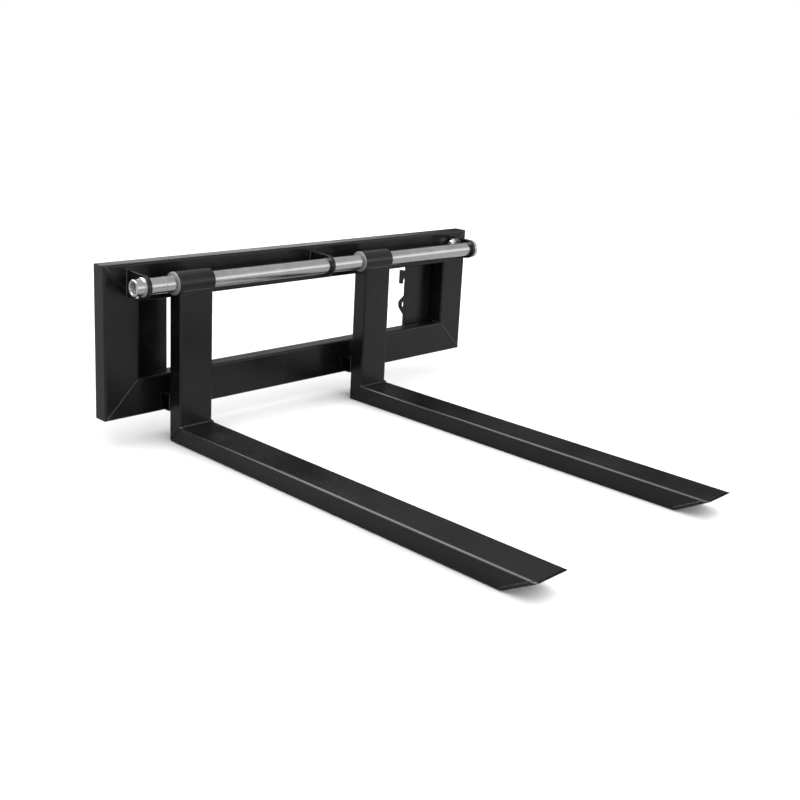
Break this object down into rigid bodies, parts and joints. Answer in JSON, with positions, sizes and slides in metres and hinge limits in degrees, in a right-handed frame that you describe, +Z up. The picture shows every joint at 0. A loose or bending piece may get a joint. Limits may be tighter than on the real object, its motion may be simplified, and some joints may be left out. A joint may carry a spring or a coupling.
{
  "type": "pallet fork attachment",
  "caption": "Pallet fork carriage: welded tube frame with rear hitch hooks, and forks that slide along a cross shaft and swing up about it.",
  "frame": {"origin": "centre of the footprint at floor level, under the middle of the whole attachment with the forks lying flat", "axes": "+X along the fork shaft towards its bolted end, -Y the way the forks point, +Y towards the machine that carries it, +Z up"},
  "size_m": [1.35, 1.371, 0.47],
  "materials": {
    "black_coating": "semi-gloss black coating over welded steel",
    "ground_steel": "ground bright steel, fine marks around the axis",
    "zinc_plate": "zinc plated, satin"
  },
  "bodies": {
    "frame": {"frame_top_tube": "black_coating", "frame_bottom_tube": "black_coating", "frame_left_upright": "black_coating", "frame_right_upright": "black_coating", "left_shaft_lug": "black_coating", "centre_shaft_lug": "black_coating", "right_shaft_lug": "black_coating", "left_hitch_plate": "black_coating", "right_hitch_plate": "black_coating", "left_hitch_hook": "black_coating", "right_hitch_hook": "black_coating", "fork_shaft": "ground_steel", "shaft_end_washer": "zinc_plate", "shaft_spring_pin": "zinc_plate", "shaft_keeper_plate": "zinc_plate", "keeper_bolt": "zinc_plate", "keeper_nut": "zinc_plate"},
    "left_bush": {"left_fork_bush": "ground_steel"},
    "left_fork": {"left_fork_sleeve": "black_coating", "left_fork_shank": "black_coating", "left_fork_blade": "black_coating", "left_fork_tip_plate": "black_coating", "left_fork_spacer": "black_coating"},
    "right_bush": {"right_fork_bush": "ground_steel"},
    "right_fork": {"right_fork_sleeve": "black_coating", "right_fork_shank": "black_coating", "right_fork_blade": "black_coating", "right_fork_tip_plate": "black_coating", "right_fork_spacer": "black_coating"}
  },
  "joints": [
    {"name": "left_fork_slide", "type": "slide", "parent": "frame", "child": "left_bush", "axis": [1, 0, 0], "range_m": [-0.07, 0.4]},
    {"name": "left_fork_swing", "type": "hinge", "parent": "left_bush", "child": "left_fork", "pos_m": [-0.465, 0.4895, 0.423], "axis": [-1, 0, 0], "range_deg": [0, 115]},
    {"name": "right_fork_slide", "type": "slide", "parent": "frame", "child": "right_bush", "axis": [1, 0, 0], "range_m": [-0.11, 0.355]},
    {"name": "right_fork_swing", "type": "hinge", "parent": "right_bush", "child": "right_fork", "pos_m": [0.18, 0.4895, 0.423], "axis": [-1, 0, 0], "range_deg": [0, 115]}
  ]
}
